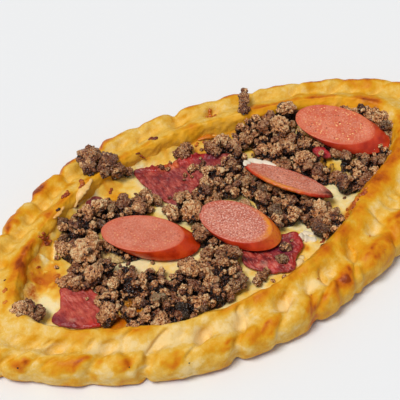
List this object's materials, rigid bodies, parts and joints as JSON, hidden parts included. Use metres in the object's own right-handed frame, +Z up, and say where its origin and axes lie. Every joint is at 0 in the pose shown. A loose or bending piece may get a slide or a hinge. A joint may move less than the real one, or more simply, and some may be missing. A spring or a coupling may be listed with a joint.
{
  "type": "meat manakish",
  "caption": "Boat-shaped baked flatbread with a hand-crimped rim, filled with melted cheese and topped with minced beef, oblique sausage slices and cured meat.",
  "frame": {"origin": "middle of the loaf in plan, on the surface that it rests on", "axes": "+X along the loaf's length, +Y across it, +Z up"},
  "size_m": [0.3005, 0.1537, 0.0292],
  "materials": {
    "dough": "golden baked dough, browned on the folds and pale in the creases, slightly shiny",
    "cheese": "melted cream-yellow cheese with orange oily browned spots, wet sheen",
    "sausage": "salmon pink speckled cut face, glossy orange-red skin",
    "cured_meat": "dark red fibrous slice, moist sheen",
    "beef": "grey-brown cooked mince with darker hollows, slightly greasy"
  },
  "bodies": {
    "root": {"crust": "dough", "cheese": "cheese", "sausage_1": "sausage", "sausage_2": "sausage", "sausage_3": "sausage", "sausage_4": "sausage", "cured_slice_1": "cured_meat", "cured_slice_2": "cured_meat", "cured_slice_3": "cured_meat", "cured_slice_4": "cured_meat", "cured_slice_5": "cured_meat", "beef_heap": "beef", "beef_clump_1": "beef", "beef_clump_2": "beef", "beef_clump_3": "beef", "beef_clump_4": "beef", "beef_clump_5": "beef", "beef_clump_6": "beef"}
  },
  "joints": []
}
